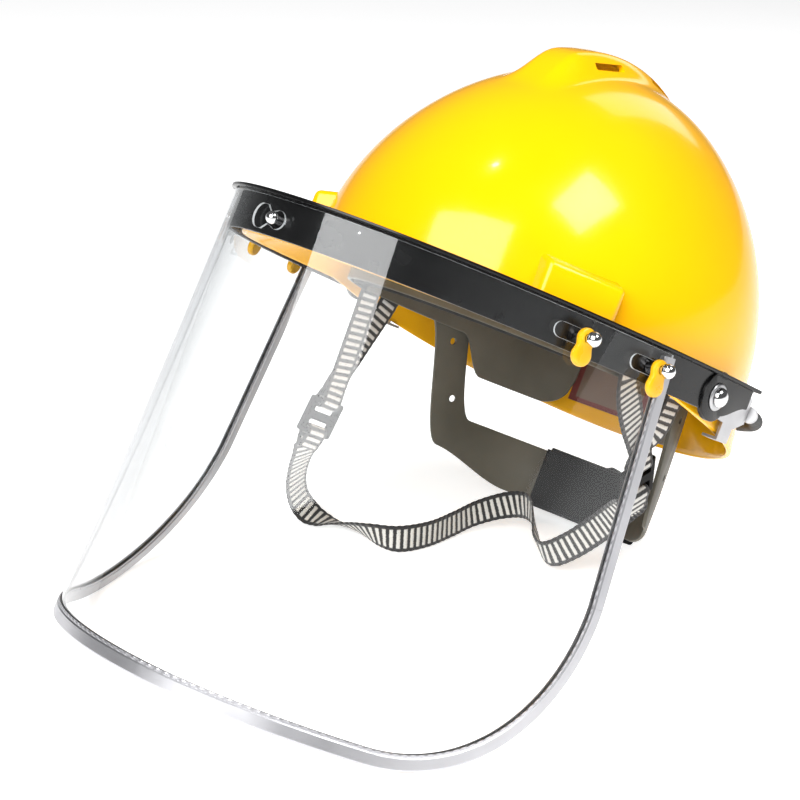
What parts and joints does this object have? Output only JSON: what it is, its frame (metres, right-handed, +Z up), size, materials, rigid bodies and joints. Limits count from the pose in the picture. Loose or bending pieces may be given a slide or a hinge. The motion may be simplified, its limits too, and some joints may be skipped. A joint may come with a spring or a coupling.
{
  "type": "hard hat with face shield",
  "caption": "V-ridged safety helmet with plastic suspension, rear ratchet, elastic chin strap and a clear flip-up face shield in a metal-edged frame.",
  "frame": {"origin": "middle of the footprint on the surface the hat lies on", "axes": "-Y towards the front of the hat and its shield, +X to the wearer's left, +Z up; the hat lies tipped back about 26 degrees on the lower corners of its shield and on its ratchet knob"},
  "size_m": [0.2434, 0.3733, 0.2585],
  "materials": {
    "shell_plastic": "glossy moulded ABS",
    "suspension_plastic": "satin moulded polyethylene",
    "sweatband_foam": "soft perforated foam",
    "label_film": "blank printed film",
    "black_plastic": "fine moulded grain",
    "band_plastic": "satin gloss",
    "spring_sheath": "matte sheath",
    "zinc_steel": "zinc plated",
    "bright_metal": "polished",
    "trim_aluminium": "rolled, satin",
    "clear_sheet": "clear polycarbonate",
    "tab_plastic": "moulded",
    "webbing": "woven elastic with light cross stripes"
  },
  "bodies": {
    "hat": {"shell": "shell_plastic", "headband": "suspension_plastic", "nape_strap_left": "suspension_plastic", "nape_strap_right": "suspension_plastic", "crown_cradle": "suspension_plastic", "cradle_key_1": "suspension_plastic", "cradle_key_2": "suspension_plastic", "cradle_key_3": "suspension_plastic", "cradle_key_4": "suspension_plastic", "cradle_key_5": "suspension_plastic", "cradle_key_6": "suspension_plastic", "sweatband": "sweatband_foam", "label": "label_film", "adjuster_cover": "black_plastic", "adjuster_housing": "black_plastic", "anchor_plate_left": "zinc_steel", "anchor_plate_right": "zinc_steel", "pivot_rivet_left": "bright_metal", "pivot_rivet_right": "bright_metal", "pivot_washer_left": "zinc_steel", "pivot_washer_right": "zinc_steel", "spring_hook_left": "zinc_steel", "spring_hook_right": "zinc_steel", "rear_spring": "spring_sheath", "chin_strap": "webbing", "chin_leg_left_front": "webbing", "chin_leg_left_rear": "webbing", "chin_leg_right_front": "webbing", "chin_leg_right_rear": "webbing", "chin_slider_left": "black_plastic", "chin_slider_right": "black_plastic"},
    "visor": {"bracket_band": "band_plastic", "visor_sheet": "clear_sheet", "edge_trim": "trim_aluminium", "stud_middle": "bright_metal", "stud_left_front": "bright_metal", "stud_left_rear": "bright_metal", "stud_right_front": "bright_metal", "stud_right_rear": "bright_metal"},
    "ratchet": {"adjuster_knob": "black_plastic", "adjuster_pinion": "black_plastic"},
    "lock_tab_left_front": {"lock_tab_left_front": "tab_plastic"},
    "lock_tab_left_rear": {"lock_tab_left_rear": "tab_plastic"},
    "lock_tab_right_front": {"lock_tab_right_front": "tab_plastic"},
    "lock_tab_right_rear": {"lock_tab_right_rear": "tab_plastic"}
  },
  "joints": [
    {"name": "visor_flip", "type": "hinge", "parent": "hat", "child": "visor", "pos_m": [0, 0.06604, 0.1235], "axis": [-1, 0, 0], "range_deg": [0, 95]},
    {"name": "ratchet_turn", "type": "hinge", "parent": "hat", "child": "ratchet", "pos_m": [0, 0.14913, 0.01404], "axis": [0, 0.8964, -0.4432], "range_deg": [-180, 180]},
    {"name": "tab_left_front_turn", "type": "hinge", "parent": "visor", "child": "lock_tab_left_front", "pos_m": [0.09298, -0.01569, 0.16301], "axis": [-0.9396, 0.2656, -0.216], "range_deg": [0, 90]},
    {"name": "tab_left_rear_turn", "type": "hinge", "parent": "visor", "child": "lock_tab_left_rear", "pos_m": [0.10424, 0.02139, 0.14468], "axis": [-0.9753, 0.1418, -0.1695], "range_deg": [0, 90]},
    {"name": "tab_right_front_turn", "type": "hinge", "parent": "visor", "child": "lock_tab_right_front", "pos_m": [-0.09298, -0.01569, 0.16301], "axis": [-0.9396, -0.2656, 0.216], "range_deg": [0, 90]},
    {"name": "tab_right_rear_turn", "type": "hinge", "parent": "visor", "child": "lock_tab_right_rear", "pos_m": [-0.10424, 0.02139, 0.14468], "axis": [-0.9753, -0.1418, 0.1695], "range_deg": [0, 90]}
  ]
}
